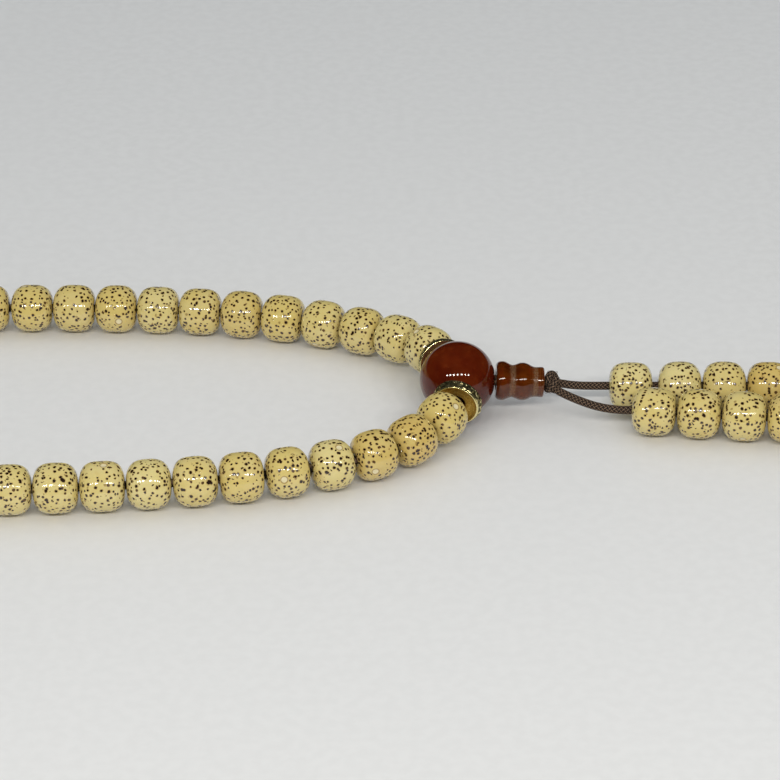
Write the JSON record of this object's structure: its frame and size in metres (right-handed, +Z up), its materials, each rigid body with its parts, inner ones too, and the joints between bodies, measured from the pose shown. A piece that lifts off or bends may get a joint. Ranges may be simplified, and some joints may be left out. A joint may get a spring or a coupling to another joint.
{
  "type": "mala prayer beads",
  "caption": "Loop of speckled seed beads laid flat, with a round three-hole guru bead, dished spacers, a turned stupa bead, a cord knot and a pair of beaded counter strings.",
  "frame": {"origin": "middle of the footprint of the beads, on the table that the mala lies on", "axes": "+Z up; +X along the loop, from its far end to the guru bead and the counter strings"},
  "size_m": [0.5348, 0.075, 0.0136],
  "materials": {
    "seed": "polished, with dark specks",
    "agate": "polished",
    "carnelian": "polished",
    "gold": "polished, hammered rim",
    "cord": "braided"
  },
  "bodies": {
    "loop_cord": {"guru_cord": "cord"},
    "guru": {"guru_bead": "agate", "stem_knot": "cord"},
    "stupa": {"stupa_bead": "carnelian"},
    "near_front": {"loop_cord_front": "cord"},
    "run_near_front": {"run_near_front": "seed"},
    "run_far_front": {"run_far_front": "seed"},
    "run_end_front": {"run_end_front": "seed"},
    "near_rear": {"loop_cord_rear": "cord"},
    "run_near_rear": {"run_near_rear": "seed"},
    "run_far_rear": {"run_far_rear": "seed"},
    "run_end_rear": {"run_end_rear": "seed"},
    "counter_front": {"counter_cord_front": "cord", "counter_knot_front": "cord"},
    "counter_rear": {"counter_cord_rear": "cord", "counter_knot_rear": "cord"},
    "counter_front_01": {"counter_front_01": "seed"},
    "counter_rear_01": {"counter_rear_01": "seed"},
    "spacer_front": {"spacer_front": "gold"},
    "bead_front_01": {"bead_front_01": "seed"},
    "bead_front_02": {"bead_front_02": "seed"},
    "bead_front_03": {"bead_front_03": "seed"},
    "bead_front_04": {"bead_front_04": "seed"},
    "bead_front_05": {"bead_front_05": "seed"},
    "bead_front_06": {"bead_front_06": "seed"},
    "bead_front_07": {"bead_front_07": "seed"},
    "bead_front_08": {"bead_front_08": "seed"},
    "bead_front_09": {"bead_front_09": "seed"},
    "bead_front_10": {"bead_front_10": "seed"},
    "bead_front_11": {"bead_front_11": "seed"},
    "counter_front_02": {"counter_front_02": "seed"},
    "counter_front_03": {"counter_front_03": "seed"},
    "counter_front_04": {"counter_front_04": "seed"},
    "counter_front_05": {"counter_front_05": "seed"},
    "counter_front_06": {"counter_front_06": "seed"},
    "counter_front_07": {"counter_front_07": "seed"},
    "counter_front_08": {"counter_front_08": "seed"},
    "counter_front_09": {"counter_front_09": "seed"},
    "counter_front_10": {"counter_front_10": "seed"},
    "spacer_rear": {"spacer_rear": "gold"},
    "bead_rear_01": {"bead_rear_01": "seed"},
    "bead_rear_02": {"bead_rear_02": "seed"},
    "bead_rear_03": {"bead_rear_03": "seed"},
    "bead_rear_04": {"bead_rear_04": "seed"},
    "bead_rear_05": {"bead_rear_05": "seed"},
    "bead_rear_06": {"bead_rear_06": "seed"},
    "bead_rear_07": {"bead_rear_07": "seed"},
    "bead_rear_08": {"bead_rear_08": "seed"},
    "bead_rear_09": {"bead_rear_09": "seed"},
    "bead_rear_10": {"bead_rear_10": "seed"},
    "bead_rear_11": {"bead_rear_11": "seed"},
    "counter_rear_02": {"counter_rear_02": "seed"},
    "counter_rear_03": {"counter_rear_03": "seed"},
    "counter_rear_04": {"counter_rear_04": "seed"},
    "counter_rear_05": {"counter_rear_05": "seed"},
    "counter_rear_06": {"counter_rear_06": "seed"},
    "counter_rear_07": {"counter_rear_07": "seed"},
    "counter_rear_08": {"counter_rear_08": "seed"},
    "counter_rear_09": {"counter_rear_09": "seed"},
    "counter_rear_10": {"counter_rear_10": "seed"}
  },
  "joints": [
    {"name": "loop_spread", "type": "hinge", "parent": "loop_cord", "child": "near_front", "pos_m": [0.15412, -0.00126, 0.0068], "axis": [0, 0, 1], "range_deg": [-6, 10]},
    {"name": "loop_shoulder_front", "type": "hinge", "parent": "near_front", "child": "run_near_front", "pos_m": [0.07214, -0.03296, 0.0045], "axis": [0, 0, 1], "range_deg": [-7, 4.2]},
    {"name": "loop_middle_front", "type": "hinge", "parent": "run_near_front", "child": "run_far_front", "pos_m": [-0.05601, -0.03296, 0.0045], "axis": [0, 0, 1], "range_deg": [-6, 3.6]},
    {"name": "loop_end_front", "type": "hinge", "parent": "run_far_front", "child": "run_end_front", "pos_m": [-0.17616, -0.03296, 0.0045], "axis": [0, 0, 1], "range_deg": [-7, 4.2]},
    {"name": "loop_spread_rear", "type": "hinge", "parent": "loop_cord", "child": "near_rear", "pos_m": [0.15412, -0.00126, 0.0068], "axis": [0, 0, 1], "range_deg": [-10, 6]},
    {"name": "loop_shoulder_rear", "type": "hinge", "parent": "near_rear", "child": "run_near_rear", "pos_m": [0.07071, 0.03296, 0.0045], "axis": [0, 0, 1], "range_deg": [-4.2, 7]},
    {"name": "loop_middle_rear", "type": "hinge", "parent": "run_near_rear", "child": "run_far_rear", "pos_m": [-0.04944, 0.03296, 0.0045], "axis": [0, 0, 1], "range_deg": [-3.6, 6]},
    {"name": "loop_end_rear", "type": "hinge", "parent": "run_far_rear", "child": "run_end_rear", "pos_m": [-0.17759, 0.03296, 0.0045], "axis": [0, 0, 1], "range_deg": [-4.2, 7]},
    {"name": "guru_lift", "type": "hinge", "parent": "loop_cord", "child": "guru", "pos_m": [0.15412, -0.00126, 0.0068], "axis": [0, -1, 0], "range_deg": [0, 35]},
    {"name": "counter_swing_front", "type": "hinge", "parent": "guru", "child": "counter_front", "pos_m": [0.17104, -0.00126, 0.00568], "axis": [0, 0, 1], "range_deg": [-20, 0]},
    {"name": "counter_swing_rear", "type": "hinge", "parent": "guru", "child": "counter_rear", "pos_m": [0.17104, -0.00126, 0.00568], "axis": [0, 0, 1], "range_deg": [0, 20]},
    {"name": "counter_slide_front", "type": "slide", "parent": "counter_front", "child": "counter_front_01", "axis": [-0.9903, 0.1392, 0], "range_m": [0, 0.0025]},
    {"name": "counter_slide_rear", "type": "slide", "parent": "counter_rear", "child": "counter_rear_01", "axis": [-0.9993, 0.0384, 0], "range_m": [0, 0.003]},
    {"name": "spin_stupa_bead", "type": "hinge", "parent": "guru", "child": "stupa", "pos_m": [0.16101, -0.00126, 0.00634], "axis": [0.9978, 0, -0.0663], "continuous": true},
    {"name": "spin_spacer_front", "type": "hinge", "parent": "near_front", "child": "spacer_front", "pos_m": [0.15386, -0.00891, 0.00634], "axis": [-0.274, -0.9554, -0.1102], "continuous": true},
    {"name": "spin_bead_front_01", "type": "hinge", "parent": "near_front", "child": "bead_front_01", "pos_m": [0.151, -0.01321, 0.00571], "axis": [-0.5426, -0.8287, -0.1374], "continuous": true},
    {"name": "spin_bead_front_02", "type": "hinge", "parent": "near_front", "child": "bead_front_02", "pos_m": [0.14564, -0.0191, 0.00474], "axis": [-0.7678, -0.6351, -0.084], "continuous": true},
    {"name": "spin_bead_front_03", "type": "hinge", "parent": "near_front", "child": "bead_front_03", "pos_m": [0.13895, -0.02347, 0.0045], "axis": [-0.888, -0.4597, 0], "continuous": true},
    {"name": "spin_bead_front_04", "type": "hinge", "parent": "near_front", "child": "bead_front_04", "pos_m": [0.13159, -0.02657, 0.0045], "axis": [-0.9466, -0.3223, 0], "continuous": true},
    {"name": "spin_bead_front_05", "type": "hinge", "parent": "near_front", "child": "bead_front_05", "pos_m": [0.12389, -0.02872, 0.0045], "axis": [-0.975, -0.2224, 0], "continuous": true},
    {"name": "spin_bead_front_06", "type": "hinge", "parent": "near_front", "child": "bead_front_06", "pos_m": [0.11603, -0.0302, 0.0045], "axis": [-0.9884, -0.1521, 0], "continuous": true},
    {"name": "spin_bead_front_07", "type": "hinge", "parent": "near_front", "child": "bead_front_07", "pos_m": [0.10809, -0.03121, 0.0045], "axis": [-0.9946, -0.1033, 0], "continuous": true},
    {"name": "spin_bead_front_08", "type": "hinge", "parent": "near_front", "child": "bead_front_08", "pos_m": [0.10012, -0.0319, 0.0045], "axis": [-0.9976, -0.0699, 0], "continuous": true},
    {"name": "spin_bead_front_09", "type": "hinge", "parent": "near_front", "child": "bead_front_09", "pos_m": [0.09213, -0.03236, 0.0045], "axis": [-0.9989, -0.0472, 0], "continuous": true},
    {"name": "spin_bead_front_10", "type": "hinge", "parent": "near_front", "child": "bead_front_10", "pos_m": [0.08414, -0.03267, 0.0045], "axis": [-0.9995, -0.0317, 0], "continuous": true},
    {"name": "spin_bead_front_11", "type": "hinge", "parent": "near_front", "child": "bead_front_11", "pos_m": [0.07614, -0.03288, 0.0045], "axis": [-0.9998, -0.0213, 0], "continuous": true},
    {"name": "spin_counter_front_02", "type": "hinge", "parent": "counter_front", "child": "counter_front_02", "pos_m": [0.19675, -0.01132, 0.0045], "axis": [0.9903, -0.1392, 0], "continuous": true},
    {"name": "spin_counter_front_03", "type": "hinge", "parent": "counter_front", "child": "counter_front_03", "pos_m": [0.20467, -0.01244, 0.0045], "axis": [0.9903, -0.1392, 0], "continuous": true},
    {"name": "spin_counter_front_04", "type": "hinge", "parent": "counter_front", "child": "counter_front_04", "pos_m": [0.21259, -0.01355, 0.0045], "axis": [0.9903, -0.1392, 0], "continuous": true},
    {"name": "spin_counter_front_05", "type": "hinge", "parent": "counter_front", "child": "counter_front_05", "pos_m": [0.22051, -0.01466, 0.0045], "axis": [0.9903, -0.1392, 0], "continuous": true},
    {"name": "spin_counter_front_06", "type": "hinge", "parent": "counter_front", "child": "counter_front_06", "pos_m": [0.22844, -0.01578, 0.0045], "axis": [0.9903, -0.1392, 0], "continuous": true},
    {"name": "spin_counter_front_07", "type": "hinge", "parent": "counter_front", "child": "counter_front_07", "pos_m": [0.23636, -0.01689, 0.0045], "axis": [0.9903, -0.1392, 0], "continuous": true},
    {"name": "spin_counter_front_08", "type": "hinge", "parent": "counter_front", "child": "counter_front_08", "pos_m": [0.24428, -0.018, 0.0045], "axis": [0.9903, -0.1392, 0], "continuous": true},
    {"name": "spin_counter_front_09", "type": "hinge", "parent": "counter_front", "child": "counter_front_09", "pos_m": [0.2522, -0.01912, 0.0045], "axis": [0.9903, -0.1392, 0], "continuous": true},
    {"name": "spin_counter_front_10", "type": "hinge", "parent": "counter_front", "child": "counter_front_10", "pos_m": [0.26012, -0.02023, 0.0045], "axis": [0.9903, -0.1392, 0], "continuous": true},
    {"name": "spin_spacer_rear", "type": "hinge", "parent": "near_rear", "child": "spacer_rear", "pos_m": [0.15126, 0.00583, 0.00658], "axis": [-0.4061, 0.9121, -0.0561], "continuous": true},
    {"name": "spin_bead_rear_01", "type": "hinge", "parent": "near_rear", "child": "bead_rear_01", "pos_m": [0.14922, 0.01071, 0.00619], "axis": [-0.5986, 0.7967, -0.0837], "continuous": true},
    {"name": "spin_bead_rear_02", "type": "hinge", "parent": "near_rear", "child": "bead_rear_02", "pos_m": [0.14367, 0.01645, 0.00545], "axis": [-0.7686, 0.6329, -0.0932], "continuous": true},
    {"name": "spin_bead_rear_03", "type": "hinge", "parent": "near_rear", "child": "bead_rear_03", "pos_m": [0.13705, 0.02093, 0.0048], "axis": [-0.8712, 0.4868, -0.0637], "continuous": true},
    {"name": "spin_bead_rear_04", "type": "hinge", "parent": "near_rear", "child": "bead_rear_04", "pos_m": [0.12982, 0.02433, 0.0045], "axis": [-0.9303, 0.3667, -0.0071], "continuous": true},
    {"name": "spin_bead_rear_05", "type": "hinge", "parent": "near_rear", "child": "bead_rear_05", "pos_m": [0.12223, 0.02687, 0.0045], "axis": [-0.9622, 0.2723, 0], "continuous": true},
    {"name": "spin_bead_rear_06", "type": "hinge", "parent": "near_rear", "child": "bead_rear_06", "pos_m": [0.11446, 0.02874, 0.0045], "axis": [-0.9796, 0.2008, 0], "continuous": true},
    {"name": "spin_bead_rear_07", "type": "hinge", "parent": "near_rear", "child": "bead_rear_07", "pos_m": [0.10658, 0.03013, 0.0045], "axis": [-0.9891, 0.1473, 0], "continuous": true},
    {"name": "spin_bead_rear_08", "type": "hinge", "parent": "near_rear", "child": "bead_rear_08", "pos_m": [0.09864, 0.03114, 0.0045], "axis": [-0.9942, 0.1077, 0], "continuous": true},
    {"name": "spin_bead_rear_09", "type": "hinge", "parent": "near_rear", "child": "bead_rear_09", "pos_m": [0.09068, 0.03188, 0.0045], "axis": [-0.9969, 0.0785, 0], "continuous": true},
    {"name": "spin_bead_rear_10", "type": "hinge", "parent": "near_rear", "child": "bead_rear_10", "pos_m": [0.0827, 0.03241, 0.0045], "axis": [-0.9984, 0.0572, 0], "continuous": true},
    {"name": "spin_bead_rear_11", "type": "hinge", "parent": "near_rear", "child": "bead_rear_11", "pos_m": [0.07471, 0.03281, 0.0045], "axis": [-0.9991, 0.0416, 0], "continuous": true},
    {"name": "spin_counter_rear_02", "type": "hinge", "parent": "counter_rear", "child": "counter_rear_02", "pos_m": [0.19412, -0.00125, 0.0045], "axis": [0.9993, -0.0384, 0], "continuous": true},
    {"name": "spin_counter_rear_03", "type": "hinge", "parent": "counter_rear", "child": "counter_rear_03", "pos_m": [0.20211, -0.00156, 0.0045], "axis": [0.9993, -0.0384, 0], "continuous": true},
    {"name": "spin_counter_rear_04", "type": "hinge", "parent": "counter_rear", "child": "counter_rear_04", "pos_m": [0.21011, -0.00186, 0.0045], "axis": [0.9993, -0.0384, 0], "continuous": true},
    {"name": "spin_counter_rear_05", "type": "hinge", "parent": "counter_rear", "child": "counter_rear_05", "pos_m": [0.2181, -0.00217, 0.0045], "axis": [0.9993, -0.0384, 0], "continuous": true},
    {"name": "spin_counter_rear_06", "type": "hinge", "parent": "counter_rear", "child": "counter_rear_06", "pos_m": [0.22609, -0.00248, 0.0045], "axis": [0.9993, -0.0384, 0], "continuous": true},
    {"name": "spin_counter_rear_07", "type": "hinge", "parent": "counter_rear", "child": "counter_rear_07", "pos_m": [0.23409, -0.00278, 0.0045], "axis": [0.9993, -0.0384, 0], "continuous": true},
    {"name": "spin_counter_rear_08", "type": "hinge", "parent": "counter_rear", "child": "counter_rear_08", "pos_m": [0.24208, -0.00309, 0.0045], "axis": [0.9993, -0.0384, 0], "continuous": true},
    {"name": "spin_counter_rear_09", "type": "hinge", "parent": "counter_rear", "child": "counter_rear_09", "pos_m": [0.25008, -0.0034, 0.0045], "axis": [0.9993, -0.0384, 0], "continuous": true},
    {"name": "spin_counter_rear_10", "type": "hinge", "parent": "counter_rear", "child": "counter_rear_10", "pos_m": [0.25807, -0.00371, 0.0045], "axis": [0.9993, -0.0384, 0], "continuous": true}
  ],
  "couplings": [
    {"joint": "loop_shoulder_front", "follows": "loop_spread", "ratio": -0.7},
    {"joint": "loop_middle_front", "follows": "loop_spread", "ratio": -0.6},
    {"joint": "loop_end_front", "follows": "loop_spread", "ratio": -0.7},
    {"joint": "loop_spread_rear", "follows": "loop_spread", "ratio": -1},
    {"joint": "loop_shoulder_rear", "follows": "loop_spread", "ratio": 0.7},
    {"joint": "loop_middle_rear", "follows": "loop_spread", "ratio": 0.6},
    {"joint": "loop_end_rear", "follows": "loop_spread", "ratio": 0.7}
  ]
}
